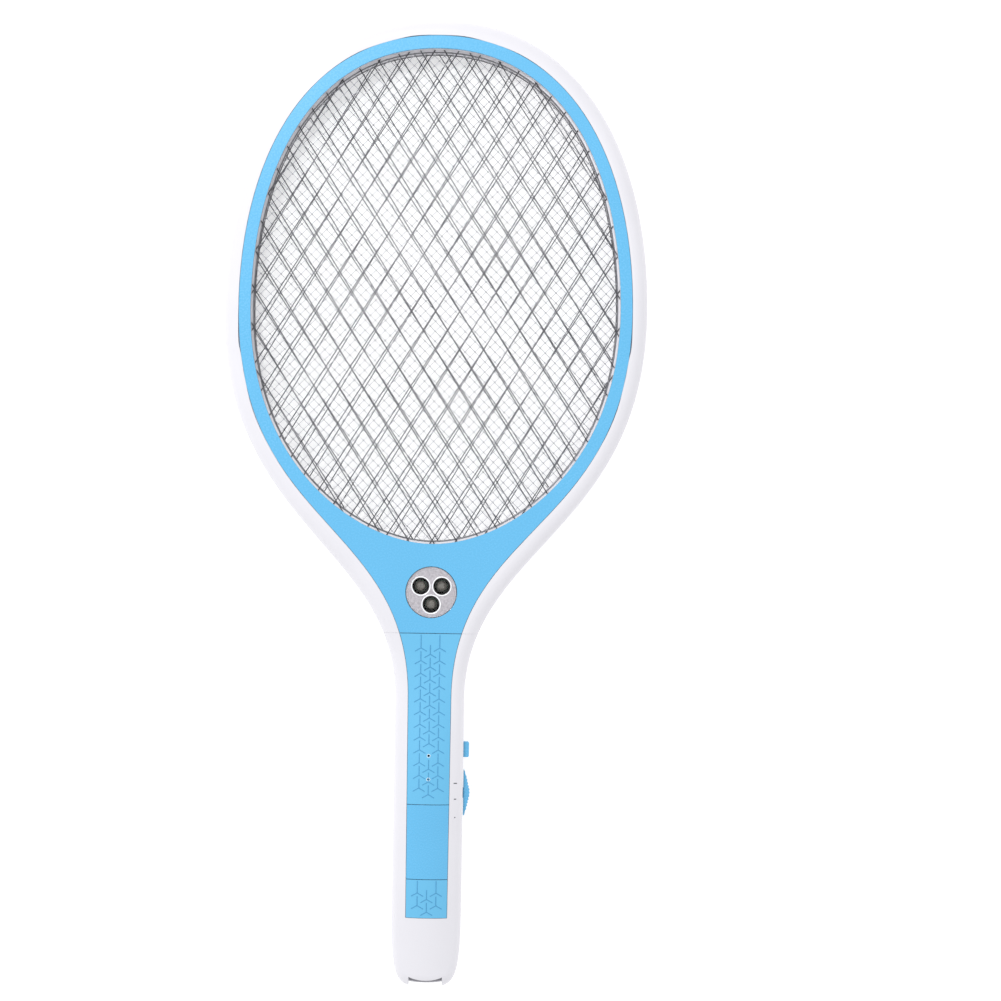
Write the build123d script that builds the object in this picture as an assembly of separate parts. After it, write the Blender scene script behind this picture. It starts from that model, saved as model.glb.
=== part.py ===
from build123d import *
import os
from math import cos, radians, sin, tan

os.makedirs("parts", exist_ok=True)

# An electric fly swatter lying on its back. +X is to the right, +Y towards the top of the
# head, +Z up out of its face. Inside this file Y is the station, the distance from the butt
# of the handle; write() moves each piece so that the origin is under the middle.

# ---- overall sizes, mm
HANDLE_LENGTH = 135.0      # butt to where the neck starts to widen
NECK_LENGTH = 183.0        # from there to the widest place of the head
CROWN_LENGTH = 137.0       # widest place to the top of the head
HEAD_WIDTH = 199.6
HANDLE_WIDTH = 32.6
HEAD_THICKNESS = 22.0
HANDLE_THICKNESS = 28.0
BUTT_LENGTH = 40.0         # how far up the handle its rounded butt reaches
EDGE_RADIUS = 6.0          # rounding of the outer edges, front and back

# ---- mouldings
WALL = 2.0                 # shells and blue trim
LEDGE = 1.6                # thickness of what the trim is glued to
GLUE_STEP = 1.5            # how much wider that is than the trim
RIM_WALL = 2.0             # walls round the mesh opening
FIT = 0.15                 # gap between mouldings that don't move
RUN = 0.3                  # gap round mouldings that slide
PARTING = 11.0             # height of the seam between front and back shells
SEAM_RISE = 31.0           # head and handle shells meet this far above the handle's straight part
TONGUE = 10.0              # overlap of the head shells inside the handle shells

# ---- blue trim
RIM_WIDTH = 7.3            # white rim outside the blue ring, at the sides
CROWN_RIM = 8.0            # the same at the top
RING_WIDTH = 5.5           # blue ring
TRIM_HALF = 10.0           # half width of the strip along the handle, at the neck
TRIM_HALF_LOW = 9.4        # the same at the butt
TRIM_START = 33.0          # station of its lower end
SEAM_GAP = 0.12            # half the gap between two pieces of trim
PANEL_START = 51.0         # plain panel between the two patterned strips
PANEL_END = 86.0

# ---- mesh
OPENING_BELOW = 110.0      # widest place to the bottom of the mesh opening
LIP = 0.8                  # how far the white spacers show inside the blue ring
FLANGE = 4.0               # how far the grids reach under the rim
BAR = 0.5                  # outer grids, width and thickness of a bar
CELL_PITCH = 9.64          # distance between parallel bars
CELL_ANGLE = 57.7          # of the bars from the X axis
REAR_TURN = 1.4            # the rear grid lies turned by this angle
FINE_WIRE = 0.35           # middle grid
FINE_PITCH = 3.35
REAR_GRID_Z = 6.0          # underside of the rear grid
SPACER = 3.8               # insulating rings between the grids
FINE_GAP = 0.9             # room for the middle grid between the rings

# ---- lamp
LAMP_BELOW = 22.7          # lamp centre below the mesh opening
LENS_RADIUS = 12.0
LENS_THICKNESS = 1.6
CUP_RADIUS = 4.6
CUP_CIRCLE = 5.7           # circle on which the three cups lie
REFLECTOR_DEPTH = 6.5
LED_RADIUS = 2.5

# ---- controls on the right side
CONTROL_Z = 13.0           # height of the button's and the slide's middle
BUTTON_STATION = 111.3
BUTTON_LENGTH = 7.2
BUTTON_HEIGHT = 6.0
BUTTON_PROUD = 2.7
BUTTON_TRAVEL = 1.2
SLIDE_STATION = 90.8
SLIDE_LENGTH = 21.0
SLIDE_HEIGHT = 7.0
SLIDE_PROUD = 3.0
SLIDE_TRAVEL = 4.0         # each way from the middle position
STEM_LENGTH = 4.6
STEM_HEIGHT = 4.0
FLANGE_THICKNESS = 1.2
PLUNGER_RADIUS = 1.6
PLUNGER_REACH = 1.0        # how far it sits in the switch when the button is up
TACT_FACE = 10.0           # the switches' faces are this far right of the middle
LEVER_HALF = 1.5
INDICATOR_STATIONS = (97.9, 108.9)
PINHOLE_RADIUS = 0.55

# ---- charging port
PORT_WIDTH = 15.7
PORT_DEPTH = 4.4
PORT_FLOOR = 8.0
SOCKET_Z = 13.0
SOCKET_WIDTH = 7.5
SOCKET_HEIGHT = 2.6
SOCKET_LENGTH = 5.6
CHARGE_BOARD = (12.4, 7.4, 1.0)

# ---- electronics
CELL_RADIUS = 9.2
CELL_LENGTH = 65.0
CELL_START = 15.0
CELL_TO_BOARD = 3.0
BOARD_WIDTH = 22.0
BOARD_THICKNESS = 1.2
BOARD_Z = 6.0
LEAD_RADIUS = 0.6
CONTACT_X = (-10.0, 0.0, 10.0)      # the grids' brass contacts: front, middle, rear
CONTACT_FOOT = 4.0

# ---- screws
BOSS_RADIUS = 3.0
SCREW_RADIUS = 1.1
SCREW_CLEARANCE = 1.4
SCREW_HEAD_RADIUS = 2.3
SCREW_HEAD = 1.8
SCREW_LENGTH = 10.0
COUNTERBORE = 4.5
RIM_SCREWS_ABOVE = (0.24, 0.66)     # shares of the way from the widest place to the top
RIM_SCREWS_BELOW = (0.42, 0.78)     # and from the bottom of the mesh to the widest place
BUTT_SCREW = (9.6, 9.5)             # on either side of the charging board
WALL_SCREWS = (96.0, 128.0)         # stations of the screws by the left and the right wall
BOARD_SCREW_RADIUS = 0.9
BOARD_SCREW_LENGTH = 4.2

# ---- stations and heights that follow from these
LENGTH = HANDLE_LENGTH + NECK_LENGTH + CROWN_LENGTH
WIDEST = HANDLE_LENGTH + NECK_LENGTH
SEAM = HANDLE_LENGTH + SEAM_RISE
OPENING_HALF = HEAD_WIDTH / 2 - RIM_WIDTH - RING_WIDTH
OPENING_ABOVE = CROWN_LENGTH - CROWN_RIM - RING_WIDTH - 0.5
LAMP_STATION = WIDEST - OPENING_BELOW - LAMP_BELOW
BOARD_START = CELL_START + CELL_LENGTH + CELL_TO_BOARD
BOARD_END = SEAM - TONGUE - 2
MIDDLE_GRID_Z = REAR_GRID_Z + BAR + SPACER
FRONT_SPACER_Z = MIDDLE_GRID_Z + FINE_GAP
FRONT_GRID_Z = FRONT_SPACER_Z + SPACER
SIDE = HANDLE_WIDTH / 2
TALL = HANDLE_THICKNESS + 10
BOARD_TOP = BOARD_Z + BOARD_THICKNESS
CELL_Z = WALL + 0.4 + CELL_RADIUS
CHARGE_BOARD_END = CELL_START - 0.6
CHARGE_BOARD_Z = SOCKET_Z - SOCKET_HEIGHT / 2 - CHARGE_BOARD[2]
LAMP_BOARD_Z = HEAD_THICKNESS - LENS_THICKNESS - 0.1 - REFLECTOR_DEPTH - BOARD_THICKNESS


def write(name, *solids):
    """Moves the solids to the part's frame and writes them as one node."""
    moved = [Pos(0, -LENGTH / 2, 0) * piece for solid in solids for piece in solid.solids()]
    export_step(moved[0] if len(moved) == 1 else Compound(moved), f"parts/{name}.step")


def both_sides(half):
    """The face inside a half outline on +X and its mirror image."""
    return make_face(half + [mirror(edge, about=Plane.YZ) for edge in half])


def block(x, y, z):
    """A box from three (low, high) pairs."""
    low, high = Vector(x[0], y[0], z[0]), Vector(x[1], y[1], z[1])
    size, middle = high - low, (low + high) / 2
    return Pos(*middle) * Box(size.X, size.Y, size.Z)


def rod(radius, low, high, x=0, y=0):
    """An upright cylinder between two heights."""
    return Pos(x, y, (low + high) / 2) * Cylinder(radius, high - low)


# ======================================================================= outlines

def crown(half, above, shoulder=0.54, flatness=0.68):
    """Quarter of the head above its widest place."""
    top = WIDEST + above
    return Bezier((half, WIDEST), (half, WIDEST + shoulder * above), (flatness * half, top), (0, top))


def inwards(edge, distance):
    """An edge moved to its left, which is into the outline when it is drawn up the right side."""
    if edge.geom_type == GeomType.LINE:
        shift = (edge % 0).rotate(Axis.Z, 90) * distance
        return Line(edge @ 0 + shift, edge @ 1 + shift)
    steps = [step / 10 for step in range(11)]
    points = [edge @ t + (edge % t).rotate(Axis.Z, 90) * distance for t in steps]
    return Spline(*points, tangents=(edge % 0, edge % 1))


def racket_outline(inset=0.0):
    half, drop = HEAD_WIDTH / 2, 0.568 * NECK_LENGTH
    edges = [
        Bezier((0, 0), (0.89 * SIDE, 0), (SIDE, 0.05 * BUTT_LENGTH), (SIDE, BUTT_LENGTH)),
        Line((SIDE, BUTT_LENGTH), (SIDE, HANDLE_LENGTH)),
        Bezier((SIDE, HANDLE_LENGTH), (SIDE, HANDLE_LENGTH + 0.393 * NECK_LENGTH),
               (half, WIDEST - drop), (half, WIDEST)),
        crown(half, CROWN_LENGTH),
    ]
    return both_sides([inwards(edge, inset) for edge in edges] if inset else edges)


def trim_outline(grow=0.0):
    """The blue ring, neck and handle strip in one, run on past the butt, made wider by grow."""
    half, drop = HEAD_WIDTH / 2 - RIM_WIDTH, 0.568 * NECK_LENGTH
    low = TRIM_HALF_LOW + grow
    neck = Bezier((TRIM_HALF, HANDLE_LENGTH), (TRIM_HALF, HANDLE_LENGTH + 0.459 * NECK_LENGTH),
                  (half, WIDEST - drop), (half, WIDEST))
    curves = [neck, crown(half, CROWN_LENGTH - CROWN_RIM)]
    if grow:
        curves = [inwards(curve, -grow) for curve in curves]
    return both_sides([Line((0, -20), (low, -20)), Line((low, -20), (TRIM_HALF + grow, HANDLE_LENGTH)), *curves])


def opening(grow=0.0):
    """The mesh opening, made larger all round by grow."""
    half, bottom = OPENING_HALF + grow, WIDEST - OPENING_BELOW - grow
    lower = Bezier((0, bottom), (0.4 * half, bottom), (half, WIDEST - 0.68 * (WIDEST - bottom)),
                   (half, WIDEST))
    return both_sides([lower, crown(half, OPENING_ABOVE + grow)])


def opening_ring(inner, outer, low, high):
    """A ring round the mesh opening, between two heights."""
    return Pos(0, 0, low) * extrude(opening(outer) - opening(inner), high - low)


# ======================================================================= front surface

def under_handle(depth):
    """Everything lower than depth below the handle's front, crowned there and flat at the seam."""
    reach, sections = SIDE + 8, []
    for step in range(15):
        station = -12 + step * (SEAM + 16) / 14
        along = min(max((station - HANDLE_LENGTH + 40) / (SEAM_RISE + 36), 0), 1)
        fade = along * along * (3 - 2 * along)
        top = HANDLE_THICKNESS - fade * (HANDLE_THICKNESS - HEAD_THICKNESS) - depth
        side = top - 16.0 * (1 - fade) - 0.02
        plane = Plane(origin=(0, station, 0), x_dir=(1, 0, 0), z_dir=(0, -1, 0))
        arc = ThreePointArc((-reach, side), (0, top), (reach, side))
        base = Polyline((reach, side), (reach, -8), (-reach, -8), (-reach, side))
        sections.append(plane * make_face([arc, *base.edges()]))
    return loft(sections)


def under_head(depth):
    """Everything lower than depth below the head's flat front."""
    return block((-HEAD_WIDTH, HEAD_WIDTH), (0, LENGTH + 20), (-8, HEAD_THICKNESS - depth))


def layer(face, under, top, bottom):
    """The part of an upright prism between two depths below the front."""
    return (extrude(face, TALL) & under(top)) - under(bottom)


def above(face, under, depth):
    """The part of an upright prism above a depth below the front."""
    return extrude(face, TALL) - under(depth)


def blank(under, inset, low, high):
    """The solid outer shape, inset all round, between two stations, with rounded edges."""
    body = extrude(racket_outline(inset), TALL) & under(inset)
    body &= block((-HEAD_WIDTH, HEAD_WIDTH), (low, high), (inset, TALL))
    edges = [e for e in body.edges() if is_rim(e, low, high)]
    return fillet(edges, EDGE_RADIUS - inset)


def is_rim(edge, low, high):
    """Whether an edge runs round the outline, not up a side or across a cut end."""
    if edge.geom_type == GeomType.LINE and abs(edge.tangent_at(0).Z) > 0.9:
        return False
    box = edge.bounding_box()
    cut_end = box.size.Y < 0.001 and min(abs(box.min.Y - low), abs(box.min.Y - high)) < 0.01
    return not cut_end


def strip(low, high, grow=0.0):
    """The trim's outline between two stations, made wider by grow."""
    return trim_outline(grow) & (Pos(0, (low + high) / 2) * Rectangle(2 * HEAD_WIDTH, high - low))


# ======================================================================= screws

def rim_screw_places():
    """Places of the screws round the head, just outside the grids' flanges."""
    grow = FLANGE + BOSS_RADIUS + 0.6
    half, bottom = OPENING_HALF + grow, WIDEST - OPENING_BELOW - grow
    upper = crown(half, OPENING_ABOVE + grow)
    lower = Bezier((0, bottom), (0.4 * half, bottom), (half, WIDEST - 0.68 * (WIDEST - bottom)),
                   (half, WIDEST))
    points = [upper @ t for t in RIM_SCREWS_ABOVE] + [lower @ t for t in RIM_SCREWS_BELOW]
    return [(side * p.X, p.Y) for p in points for side in (-1, 1)]


def neck_screw_places():
    return [(side * (LENS_RADIUS + 6), LAMP_STATION - 8) for side in (-1, 1)]


def handle_screw_places():
    by_wall = SIDE - WALL / 2 - BOSS_RADIUS
    x, y = BUTT_SCREW
    return [(-x, y), (x, y), (-by_wall, WALL_SCREWS[0]), (by_wall, WALL_SCREWS[1])]


def board_screw_places():
    return [(-8.5, BOARD_START + 3), (8.5, SLIDE_STATION + 13.7),
            (-8.5, BOARD_END - 4), (8.5, BOARD_END - 4)]


def with_bosses(shell, core, places):
    """Screw bosses that end inside the walls, with the hole for one screw through each."""
    for x, y in places:
        shell += rod(BOSS_RADIUS, 0, TALL, x, y) & core
    for x, y in places:
        shell -= rod(SCREW_HEAD_RADIUS + 0.2, -1, COUNTERBORE, x, y)
        shell -= rod(SCREW_CLEARANCE, -1, PARTING, x, y)
        shell -= rod(SCREW_RADIUS + 0.02, -1, COUNTERBORE + SCREW_LENGTH + 0.7, x, y)
    return shell


def shell_screws():
    places = rim_screw_places() + neck_screw_places() + handle_screw_places()
    return [rod(SCREW_RADIUS, COUNTERBORE, COUNTERBORE + SCREW_LENGTH, x, y)
            + rod(SCREW_HEAD_RADIUS, COUNTERBORE - SCREW_HEAD, COUNTERBORE, x, y)
            for x, y in places]


def board_screws():
    top = BOARD_Z + BOARD_THICKNESS
    return [rod(BOARD_SCREW_RADIUS, top - BOARD_SCREW_LENGTH, top, x, y) + rod(1.8, top, top + 1.3, x, y)
            for x, y in board_screw_places()]


# ======================================================================= shells

def front_and_back(shell):
    """Splits a shell at the parting height into its front and back halves."""
    reach = 2 * LENGTH
    front = shell & block((-reach, reach), (-reach, reach), (PARTING, TALL))
    back = shell & block((-reach, reach), (-reach, reach), (-1, PARTING))
    return front, back


def tongue():
    """The head shells' collar, which slides into the end of the handle shells."""
    inner = WALL + FIT + 1.5
    root = SEAM + 3
    collar = blank(under_handle, WALL + FIT, SEAM - TONGUE, SEAM)
    collar -= blank(under_handle, inner, SEAM - TONGUE - 1, SEAM + 1)
    ring = blank(under_head, WALL - 0.5, SEAM, WIDEST) - blank(under_head, inner, SEAM - 1, WIDEST)
    collar += ring & block((-HEAD_WIDTH, HEAD_WIDTH), (SEAM, root), (0, TALL))
    clear_of_ledge = extrude(strip(SEAM - TONGUE - 1, SEAM, GLUE_STEP + 2 * FIT), TALL)
    return collar - (clear_of_ledge & block((-99, 99), (0, LENGTH), (PARTING, TALL)))


def head_shells():
    core = blank(under_head, WALL / 2, SEAM, LENGTH + 5)
    shell = blank(under_head, 0, SEAM, LENGTH + 5) - blank(under_head, WALL, SEAM - 1, LENGTH + 5)
    shell += layer(strip(SEAM, LENGTH, GLUE_STEP), under_head, WALL / 2, WALL + LEDGE)
    shell += tongue()
    shell = with_bosses(shell, core, rim_screw_places() + neck_screw_places())
    shell += rod(LENS_RADIUS + FIT + 1.4, LAMP_BOARD_Z - 0.2, HEAD_THICKNESS - WALL / 2, 0, LAMP_STATION)
    shell -= rod(LENS_RADIUS + FIT, PARTING, TALL, 0, LAMP_STATION)
    shell += opening_ring(-1, RIM_WALL, WALL / 2, REAR_GRID_Z)
    shell += opening_ring(-1, RIM_WALL, FRONT_GRID_Z + BAR, HEAD_THICKNESS - WALL / 2)
    shell -= above(strip(SEAM - 1, LENGTH, FIT), under_head, WALL)
    shell -= Pos(0, 0, -1) * extrude(opening(), TALL)
    return front_and_back(shell)


def port_recess():
    """The notch in the butt, as an upright prism: its inner wall bulges towards the butt."""
    half, middle = PORT_WIDTH / 2, PORT_DEPTH - 0.8
    arc = ThreePointArc((-half, PORT_DEPTH + 0.8), (0, middle), (half, PORT_DEPTH + 0.8))
    sides = Polyline((half, PORT_DEPTH + 0.8), (half, -2), (-half, -2), (-half, PORT_DEPTH + 0.8))
    return Pos(0, 0, PORT_FLOOR) * extrude(make_face([arc, *sides.edges()]), TALL)


def side_slots():
    """The openings in the right wall for the button and the slide's stem."""
    wall = (SIDE - WALL - 1, SIDE + 1)
    button = block(wall, near(BUTTON_STATION, BUTTON_LENGTH / 2 + RUN), near(CONTROL_Z, BUTTON_HEIGHT / 2 + RUN))
    slide = block(wall, near(SLIDE_STATION, STEM_LENGTH / 2 + SLIDE_TRAVEL + RUN),
                  near(CONTROL_Z, STEM_HEIGHT / 2 + RUN))
    return button, slide


def near(middle, reach):
    return middle - reach, middle + reach


def cell_cradles():
    """Two ribs across the back shell that the battery lies in."""
    for station in (CELL_START + 10, CELL_START + CELL_LENGTH - 15):
        rib = block((-SIDE, SIDE), near(station, 0.8), (0, CELL_Z - 4))
        yield rib - cell(FIT)


def cell(grow=0.0):
    """The battery's cylinder, lying along the handle."""
    length = CELL_LENGTH + 4 * grow
    lying = Rot(90, 0, 0) * Cylinder(CELL_RADIUS + grow, length)
    return Pos(0, CELL_START + CELL_LENGTH / 2, CELL_Z) * lying


def handle_shells():
    core = blank(under_handle, WALL / 2, -5, SEAM)
    shell = blank(under_handle, 0, -5, SEAM) - blank(under_handle, WALL, -5, SEAM + 1)
    shell += layer(strip(TRIM_START - GLUE_STEP, SEAM, GLUE_STEP), under_handle, WALL / 2, WALL + LEDGE)
    port_half = PORT_WIDTH / 2 + LEDGE
    shell += block((-port_half, port_half), (0, PORT_DEPTH + 2.4), (PORT_FLOOR - LEDGE, TALL)) & core
    shell = with_bosses(shell, core, handle_screw_places())
    for rib in cell_cradles():
        shell += rib & core
    for x, y in board_screw_places():
        shell += rod(2.2, WALL - 0.5, BOARD_Z, x, y)
        shell -= rod(BOARD_SCREW_RADIUS + 0.02, WALL + 0.6, BOARD_Z + 1, x, y)
    for x in (-4, 4):
        shell += rod(1.5, WALL - 0.5, CHARGE_BOARD_Z, x, CHARGE_BOARD_END - 2)
    shell -= above(strip(TRIM_START - FIT, SEAM + 1, FIT), under_handle, WALL)
    shell -= port_recess()
    shell -= block(near(0, SOCKET_WIDTH / 2 + FIT), (2, PORT_DEPTH + 4),
                   near(SOCKET_Z, SOCKET_HEIGHT / 2 + FIT))
    for slot in side_slots():
        shell -= slot
    for station in INDICATOR_STATIONS:
        shell -= rod(PINHOLE_RADIUS, PARTING, TALL, 0, station)
    return front_and_back(shell)


# ======================================================================= blue trim

def neck_cover():
    cover = layer(strip(SEAM + SEAM_GAP, LENGTH) - opening(), under_head, 0, WALL)
    return cover - rod(LENS_RADIUS + FIT, 0, TALL, 0, LAMP_STATION)


def grip_strip(low, high):
    piece = layer(strip(low + SEAM_GAP, high - SEAM_GAP), under_handle, 0, WALL)
    for station in INDICATOR_STATIONS:
        if low < station < high:
            piece -= rod(PINHOLE_RADIUS, 0, TALL, 0, station)
    return piece


# ======================================================================= mesh

def coarse_grid(z, turn):
    """An outer grid: crossing bars inside a plain rim that the spacers clamp."""
    reach = WIDEST
    count = int(reach / 2 / CELL_PITCH)
    bars = [Pos(0, WIDEST) * Rot(0, 0, turn + side * CELL_ANGLE) * Pos(0, k * CELL_PITCH)
            * Rectangle(reach, BAR) for side in (-1, 1) for k in range(-count, count + 1)]
    lattice = (Sketch() + bars) & opening(1.5)
    return Pos(0, 0, z) * extrude(lattice + (opening(FLANGE) - opening(1.0)), BAR)


def fine_grid():
    """The middle grid: two layers of straight wires, crossing at right angles."""
    reach = WIDEST
    count = int(reach / 2 / FINE_PITCH)
    prism = Pos(0, 0, MIDDLE_GRID_Z) * extrude(opening(FLANGE - 0.5), FINE_GAP)
    wires = []
    for side, height in ((-1, 0.225), (1, FINE_GAP - 0.225)):
        for k in range(-count, count + 1):
            wire = Pos(0, WIDEST, MIDDLE_GRID_Z + height) * Rot(0, 0, side * 45) * Pos(0, k * FINE_PITCH, 0)
            wires += (wire * Rot(0, 90, 0) * Cylinder(FINE_WIRE / 2, reach) & prism).solids()
    return wires


def grid_contacts():
    """A brass tab on the lower edge of each grid, with a leg down to its lead."""
    low = WIDEST - OPENING_BELOW - FLANGE - 1
    heights = (FRONT_GRID_Z, MIDDLE_GRID_Z + 0.2, REAR_GRID_Z)
    for x, z in zip(CONTACT_X, heights):
        tab = block(near(x, 2), (low, low + 4), (z, z + BAR)) - extrude(opening(FLANGE), TALL)
        yield tab + block(near(x, 2), (low, low + 0.5), (CONTACT_FOOT, z + BAR))


# ======================================================================= lamp

def cup_places():
    return [(CUP_CIRCLE * cos(radians(a)), LAMP_STATION + CUP_CIRCLE * sin(radians(a))) for a in (30, 150, 270)]


def lamp_reflector():
    low, top = LAMP_BOARD_Z + BOARD_THICKNESS, LAMP_BOARD_Z + BOARD_THICKNESS + REFLECTOR_DEPTH
    body = rod(LENS_RADIUS - 0.2, low, top, 0, LAMP_STATION)
    rim, throat = (CUP_RADIUS, REFLECTOR_DEPTH + 0.1), (LED_RADIUS + 0.2, -0.1)
    curve = Bezier(throat, (CUP_RADIUS * 0.85, REFLECTOR_DEPTH * 0.2), rim)
    edge = Polyline(rim, (0, rim[1]), (0, -0.1), throat)
    cup = revolve(Plane.XZ * make_face([curve, *edge.edges()]), Axis.Z)
    for x, y in cup_places():
        body -= Pos(x, y, low) * cup
    return body


def lamp_lens():
    top = HEAD_THICKNESS
    return chamfer(rod(LENS_RADIUS, top - LENS_THICKNESS, top, 0, LAMP_STATION).edges().group_by(Axis.Z)[-1], 0.3)


def lamp_board():
    return rod(LENS_RADIUS - 0.2, LAMP_BOARD_Z, LAMP_BOARD_Z + BOARD_THICKNESS, 0, LAMP_STATION)


def round_led(radius, low, height, x, y):
    """A bullet LED with a domed top."""
    return rod(radius, low, low + height - radius, x, y) + Pos(x, y, low + height - radius) * Sphere(radius)


# ======================================================================= controls

def push_button():
    flange_x = SIDE - WALL - RUN - FLANGE_THICKNESS
    cap = block((flange_x, SIDE + BUTTON_PROUD), near(BUTTON_STATION, BUTTON_LENGTH / 2),
                near(CONTROL_Z, BUTTON_HEIGHT / 2))
    cap = fillet(cap.edges().group_by(Axis.X)[-1], 0.8)
    return cap + block((flange_x, flange_x + FLANGE_THICKNESS), near(BUTTON_STATION, BUTTON_LENGTH / 2 + 1.4),
                       near(CONTROL_Z, BUTTON_HEIGHT / 2 + 0.7))


def button_switch():
    legs = [block(near(x, 0.3), near(BUTTON_STATION, 2.4), (BOARD_TOP, CONTROL_Z - 2)) for x in (7.2, 9.2)]
    body = block((6.4, TACT_FACE), near(BUTTON_STATION, 3), near(CONTROL_Z, 3))
    for leg in legs:
        body += leg
    return body - sideways_rod(PLUNGER_RADIUS + 0.1, TACT_FACE - PLUNGER_REACH - BUTTON_TRAVEL - 0.8, TACT_FACE + 1)


def sideways_rod(radius, low, high):
    """A cylinder along X at the button."""
    return Pos((low + high) / 2, BUTTON_STATION, CONTROL_Z) * Rot(0, 90, 0) * Cylinder(radius, high - low)


def button_plunger():
    return sideways_rod(PLUNGER_RADIUS, TACT_FACE - PLUNGER_REACH, SIDE - WALL - RUN - FLANGE_THICKNESS)


def slide_knob():
    low, high = SLIDE_STATION - SLIDE_LENGTH / 2, SLIDE_STATION + SLIDE_LENGTH / 2
    foot, peak = SIDE + RUN, SIDE + SLIDE_PROUD
    wedge = Polyline((foot, low), (foot + 0.5, low), (peak, SLIDE_STATION - 1), (peak, SLIDE_STATION + 1),
                     (foot + 0.5, high), (foot, high), close=True)
    cap = Pos(0, 0, CONTROL_Z - SLIDE_HEIGHT / 2) * extrude(make_face(wedge), SLIDE_HEIGHT)
    flange_x = SIDE - WALL - RUN - FLANGE_THICKNESS
    stem = block((flange_x, foot + 0.2), near(SLIDE_STATION, STEM_LENGTH / 2), near(CONTROL_Z, STEM_HEIGHT / 2))
    flange = block((flange_x, flange_x + FLANGE_THICKNESS), near(SLIDE_STATION, STEM_LENGTH / 2 + 1.4),
                   near(CONTROL_Z, STEM_HEIGHT / 2 + 1.3))
    return cap + stem + flange - slide_lever(0.05)


def slide_lever(grow=0.0):
    return block((TACT_FACE - 2 - grow, SIDE - WALL + grow), near(SLIDE_STATION, LEVER_HALF + grow),
                 near(CONTROL_Z, LEVER_HALF - 0.3 + grow))


def slide_switch_body():
    body = block((4.6, TACT_FACE), near(SLIDE_STATION, LEVER_HALF + SLIDE_TRAVEL + 0.9), near(CONTROL_Z, 2.9))
    for y in (-4.5, 0, 4.5):
        body += block((6.6, 7.2), near(SLIDE_STATION + y, 0.5), (BOARD_TOP, CONTROL_Z - 2))
    return body - block((TACT_FACE - 2.5, TACT_FACE + 1), near(SLIDE_STATION, LEVER_HALF + SLIDE_TRAVEL + RUN),
                        near(CONTROL_Z, LEVER_HALF - 0.3 + RUN))


# ======================================================================= electronics

def circuit_board():
    board = block(near(0, BOARD_WIDTH / 2), (BOARD_START, BOARD_END), (BOARD_Z, BOARD_TOP))
    for x, y in handle_screw_places():
        board -= rod(BOSS_RADIUS + 0.3, 0, TALL, x, y)
    for x, y in board_screw_places():
        board -= rod(BOARD_SCREW_RADIUS + 0.1, 0, TALL, x, y)
    return board


def transformer_parts():
    """The ferrite core, the winding round its middle leg, and the bobbin's base."""
    y, low = BOARD_END - 11.5, BOARD_TOP + 1.2
    core = block(near(0, 7), near(y, 2.5), (low, low + 9))
    for x in (-3.75, 3.75):
        core -= block(near(x, 1.75), near(y, 9), (low + 2, low + 7))
    winding = block(near(0, 5.3), near(y, 5.5), (low + 2.1, low + 6.9))
    winding = fillet(winding.edges().filter_by(Axis.Z), 1.5) - block(near(0, 2.1), near(y, 2.6), (0, TALL))
    return core, winding, block(near(0, 6), near(y, 6), (BOARD_TOP, low))


def storage_capacitor():
    box = block((-9.5, -3.5), near(BUTTON_STATION + 9.7, 9), (BOARD_TOP, BOARD_TOP + 12))
    return fillet(box.edges().filter_by(Axis.Z), 0.8)


def disc_capacitors():
    for y in (BUTTON_STATION + 6.7, BUTTON_STATION + 14.2):
        disc = Pos(3.2, y, BOARD_TOP + 5) * Rot(90, 0, 0) * Cylinder(4, 3)
        yield disc + block(near(3.2, 0.4), near(y, 0.4), (BOARD_TOP, BOARD_TOP + 2))


def lying_part(radius, length, x, y):
    """A small axial part lying along the handle, on two bent legs."""
    z = BOARD_TOP + radius + 0.3
    part = Pos(x, y, z) * Rot(90, 0, 0) * Cylinder(radius, length)
    for side in (-1, 1):
        end = y + side * length / 2
        part += block(near(x, 0.3), sorted((end - side * 0.4, end + side * 0.9)), near(z, 0.3))
        part += block(near(x, 0.3), sorted((end + side * 0.4, end + side * 0.9)), (BOARD_TOP, z))
    return part


def diodes():
    places = [(x, BOARD_START + y) for x in (-6.2, -2.8) for y in (8.5, 21.5)]
    return [lying_part(1.3, 4.6, x, y) for x, y in places]


def resistors():
    places = [(1.2, BOARD_START + 9.2), (1.8, BOARD_START + 20.4), (-8.6, BOARD_START + 22.5)]
    return [lying_part(1.1, 4.4, x, y) for x, y in places]


def switching_transistor():
    y = BOARD_END - 21.3
    body = block(near(0, 4), near(y, 1.5), (BOARD_TOP + 2.5, BOARD_TOP + 11))
    for x in (-2.3, 0, 2.3):
        body += block(near(x, 0.35), near(y, 0.3), (BOARD_TOP, BOARD_TOP + 3))
    return body


def indicator_leds():
    top = HANDLE_THICKNESS - WALL - LEDGE - 1.2
    for station in INDICATOR_STATIONS:
        led = round_led(1.5, top - 5, 5, 0, station)
        for x in (-1, 1):
            led += block(near(x, 0.25), near(station, 0.25), (BOARD_TOP, top - 4.5))
        yield led


def battery_tabs():
    for low in (CELL_START - 0.3, CELL_START + CELL_LENGTH):
        yield block((-7, 5), (low, low + 0.3), (CELL_Z - 3, CELL_Z + 5))


def charge_board():
    width, length, thickness = CHARGE_BOARD
    return block(near(0, width / 2), (CHARGE_BOARD_END - length, CHARGE_BOARD_END),
                 (CHARGE_BOARD_Z, CHARGE_BOARD_Z + thickness))


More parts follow.
